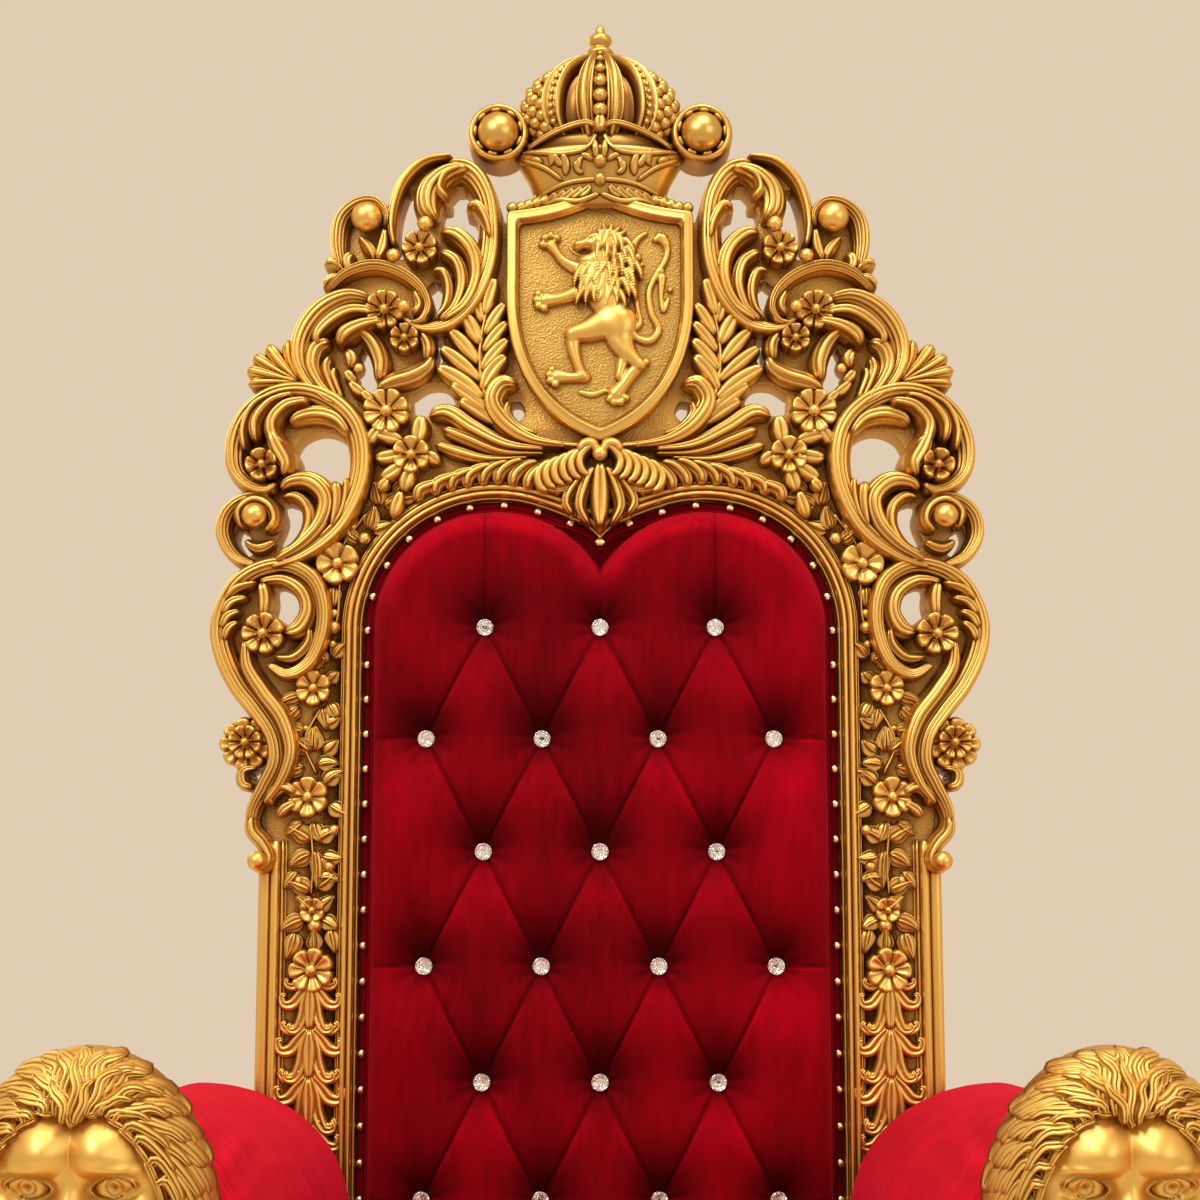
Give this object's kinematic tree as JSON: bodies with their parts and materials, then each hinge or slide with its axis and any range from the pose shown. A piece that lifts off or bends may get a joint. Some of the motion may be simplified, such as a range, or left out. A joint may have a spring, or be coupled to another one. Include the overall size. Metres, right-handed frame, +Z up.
{
  "type": "throne",
  "caption": "Tall carved and gilded throne with a tufted velvet back, cut-glass buttons, padded arms, lion heads and a crowned shield on the crest.",
  "frame": {"origin": "on the floor under the middle of the chair", "axes": "+Z up, -Y the way a sitter faces, +X to the left hand of a sitter"},
  "size_m": [1.034, 0.8657, 1.955],
  "materials": {
    "gilt_wood": "carved wood, gilded and lightly toned in the hollows",
    "back_velvet": "deep red velvet",
    "arm_velvet": "red velvet, lit pile",
    "crystal": "cut glass",
    "dark_cloth": "plain lining cloth",
    "timber": "plain unfinished board"
  },
  "bodies": {
    "root": {"back_frame": "gilt_wood", "back_pad": "back_velvet", "back_board": "dark_cloth", "crystal_button_01": "crystal", "crystal_button_02": "crystal", "crystal_button_03": "crystal", "crystal_button_04": "crystal", "crystal_button_05": "crystal", "crystal_button_06": "crystal", "crystal_button_07": "crystal", "crystal_button_08": "crystal", "crystal_button_09": "crystal", "crystal_button_10": "crystal", "crystal_button_11": "crystal", "crystal_button_12": "crystal", "crystal_button_13": "crystal", "crystal_button_14": "crystal", "crystal_button_15": "crystal", "crystal_button_16": "crystal", "crystal_button_17": "crystal", "crystal_button_18": "crystal", "crystal_button_19": "crystal", "crystal_button_20": "crystal", "crystal_button_21": "crystal", "arm_pad_left": "arm_velvet", "arm_pad_right": "arm_velvet", "seat_cushion": "back_velvet", "seat_deck": "timber", "front_rail": "gilt_wood", "side_rail_left": "gilt_wood", "side_rail_right": "gilt_wood", "rear_rail": "gilt_wood", "lion_head_left": "gilt_wood", "lion_head_right": "gilt_wood", "front_leg_left": "gilt_wood", "front_leg_right": "gilt_wood"}
  },
  "joints": []
}
